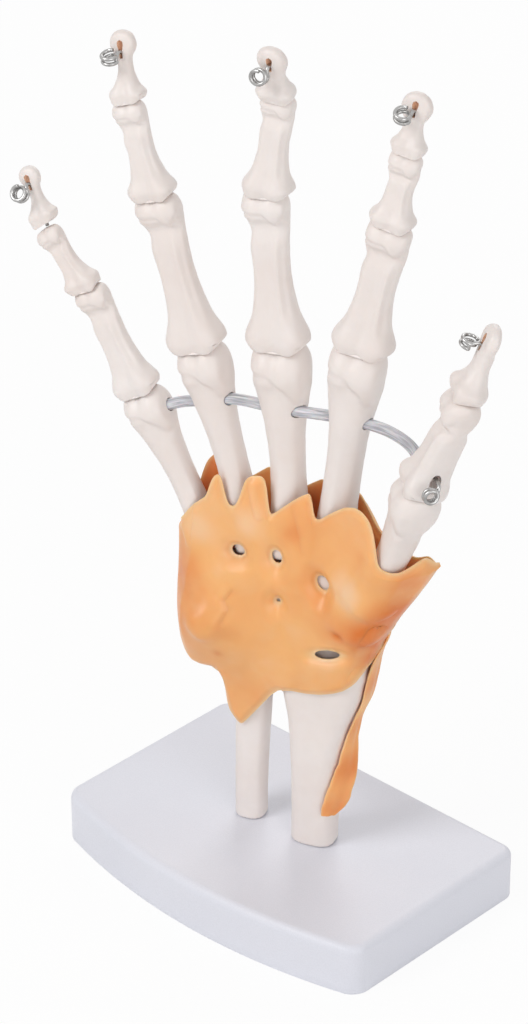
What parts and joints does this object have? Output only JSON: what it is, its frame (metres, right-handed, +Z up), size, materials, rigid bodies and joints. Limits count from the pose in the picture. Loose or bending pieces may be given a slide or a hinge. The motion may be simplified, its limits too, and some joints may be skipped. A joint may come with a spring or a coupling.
{
  "type": "posable hand skeleton model",
  "caption": "Life-size posable skeleton of a right hand on a moulded stand: wire-strung finger bones that bend at every joint, and soft ligament sheets round the wrist.",
  "frame": {"origin": "centre of the stand's underside, midway along its length and between its straight back edge and the ends of its bowed front edge", "axes": "+Z up, towards the fingertips; -Y to the bowed front edge, which the palm faces; +X along the stand, towards the thumb"},
  "size_m": [0.145, 0.0797, 0.2695],
  "materials": {
    "bone_plastic": "satin",
    "stand_plastic": "satin",
    "ligament_rubber": "translucent satin",
    "cord_rubber": "translucent gloss",
    "wire_steel": "bright drawn wire"
  },
  "bodies": {
    "root": {"stand_shell": "stand_plastic", "stand_cover": "stand_plastic", "radius_stand_screw": "wire_steel", "ulna_stand_screw": "wire_steel", "radius": "bone_plastic", "ulna": "bone_plastic"},
    "hand": {"scaphoid": "bone_plastic", "lunate": "bone_plastic", "triquetrum": "bone_plastic", "pisiform": "bone_plastic", "trapezium": "bone_plastic", "trapezoid": "bone_plastic", "capitate": "bone_plastic", "hamate": "bone_plastic", "little_metacarpal": "bone_plastic", "little_metacarpal_wire": "wire_steel", "ring_metacarpal": "bone_plastic", "ring_metacarpal_wire": "wire_steel", "middle_metacarpal": "bone_plastic", "middle_metacarpal_wire": "wire_steel", "index_metacarpal": "bone_plastic", "index_metacarpal_wire": "wire_steel", "thumb_metacarpal": "bone_plastic", "thumb_metacarpal_wire": "wire_steel", "metacarpal_cord": "cord_rubber", "palmar_ligament": "ligament_rubber", "dorsal_ligament": "ligament_rubber"},
    "little_proximal": {"little_proximal_phalanx": "bone_plastic", "little_proximal_wire": "wire_steel"},
    "little_middle": {"little_middle_phalanx": "bone_plastic", "little_middle_wire": "wire_steel"},
    "little_distal": {"little_distal_phalanx": "bone_plastic", "little_distal_wire": "wire_steel"},
    "ring_proximal": {"ring_proximal_phalanx": "bone_plastic", "ring_proximal_wire": "wire_steel"},
    "ring_middle": {"ring_middle_phalanx": "bone_plastic", "ring_middle_wire": "wire_steel"},
    "ring_distal": {"ring_distal_phalanx": "bone_plastic", "ring_distal_wire": "wire_steel"},
    "middle_proximal": {"middle_proximal_phalanx": "bone_plastic", "middle_proximal_wire": "wire_steel"},
    "middle_middle": {"middle_middle_phalanx": "bone_plastic", "middle_middle_wire": "wire_steel"},
    "middle_distal": {"middle_distal_phalanx": "bone_plastic", "middle_distal_wire": "wire_steel"},
    "index_proximal": {"index_proximal_phalanx": "bone_plastic", "index_proximal_wire": "wire_steel"},
    "index_middle": {"index_middle_phalanx": "bone_plastic", "index_middle_wire": "wire_steel"},
    "index_distal": {"index_distal_phalanx": "bone_plastic", "index_distal_wire": "wire_steel"},
    "thumb_proximal": {"thumb_proximal_phalanx": "bone_plastic", "thumb_proximal_wire": "wire_steel", "thumb_knuckle_wire": "wire_steel"},
    "thumb_distal": {"thumb_distal_phalanx": "bone_plastic", "thumb_distal_wire": "wire_steel"}
  },
  "joints": [
    {"name": "wrist_bend", "type": "hinge", "parent": "root", "child": "hand", "pos_m": [0.006, -0.001, 0.092], "axis": [0.9397, 0.342, 0], "range_deg": [-15, 15], "deforming": ["palmar_ligament", "dorsal_ligament"]},
    {"name": "little_knuckle", "type": "hinge", "parent": "hand", "child": "little_proximal", "pos_m": [-0.03695, -0.01857, 0.15013], "axis": [0.846, 0.3079, 0.4352], "range_deg": [-15, 60]},
    {"name": "little_middle_joint", "type": "hinge", "parent": "little_proximal", "child": "little_middle", "pos_m": [-0.05181, -0.02512, 0.18248], "axis": [0.8402, 0.3058, 0.4478], "range_deg": [-5, 80]},
    {"name": "little_end_joint", "type": "hinge", "parent": "little_middle", "child": "little_distal", "pos_m": [-0.0639, -0.02952, 0.19908], "axis": [0.7425, 0.2703, 0.6129], "range_deg": [-5, 55]},
    {"name": "ring_knuckle", "type": "hinge", "parent": "hand", "child": "ring_proximal", "pos_m": [-0.02171, -0.01111, 0.16637], "axis": [0.9106, 0.3314, 0.247], "range_deg": [-15, 60]},
    {"name": "ring_middle_joint", "type": "hinge", "parent": "ring_proximal", "child": "ring_middle", "pos_m": [-0.03357, -0.0165, 0.21288], "axis": [0.9051, 0.3294, 0.2689], "range_deg": [-5, 80]},
    {"name": "ring_end_joint", "type": "hinge", "parent": "ring_middle", "child": "ring_distal", "pos_m": [-0.04137, -0.01934, 0.24056], "axis": [0.9001, 0.3276, 0.2874], "range_deg": [-5, 55]},
    {"name": "middle_knuckle", "type": "hinge", "parent": "hand", "child": "middle_proximal", "pos_m": [-0.00048, -0.00235, 0.17032], "axis": [0.9386, 0.3416, 0.0489], "range_deg": [-15, 60]},
    {"name": "middle_middle_joint", "type": "hinge", "parent": "middle_proximal", "child": "middle_middle", "pos_m": [-0.00352, -0.00512, 0.21975], "axis": [0.9369, 0.341, 0.0767], "range_deg": [-5, 80]},
    {"name": "middle_end_joint", "type": "hinge", "parent": "middle_middle", "child": "middle_distal", "pos_m": [0.00026, -0.00431, 0.25051], "axis": [0.9325, 0.3394, -0.1236], "range_deg": [-5, 55]},
    {"name": "index_knuckle", "type": "hinge", "parent": "hand", "child": "index_proximal", "pos_m": [0.02166, 0.0046, 0.17512], "axis": [0.9327, 0.3395, -0.1219], "range_deg": [-15, 60]},
    {"name": "index_middle_joint", "type": "hinge", "parent": "index_proximal", "child": "index_middle", "pos_m": [0.03109, 0.00633, 0.21776], "axis": [0.9174, 0.3339, -0.2164], "range_deg": [-5, 80]},
    {"name": "index_end_joint", "type": "hinge", "parent": "index_middle", "child": "index_distal", "pos_m": [0.03523, 0.00784, 0.24023], "axis": [0.9221, 0.3356, -0.1925], "range_deg": [-5, 55]},
    {"name": "thumb_knuckle", "type": "hinge", "parent": "hand", "child": "thumb_proximal", "pos_m": [0.04807, -0.0005, 0.14466], "axis": [0.7462, -0.583, -0.3216], "range_deg": [-10, 45]},
    {"name": "thumb_end_joint", "type": "hinge", "parent": "thumb_proximal", "child": "thumb_distal", "pos_m": [0.06065, 0.00298, 0.17703], "axis": [0.7662, -0.5986, -0.2335], "range_deg": [-10, 60]}
  ]
}
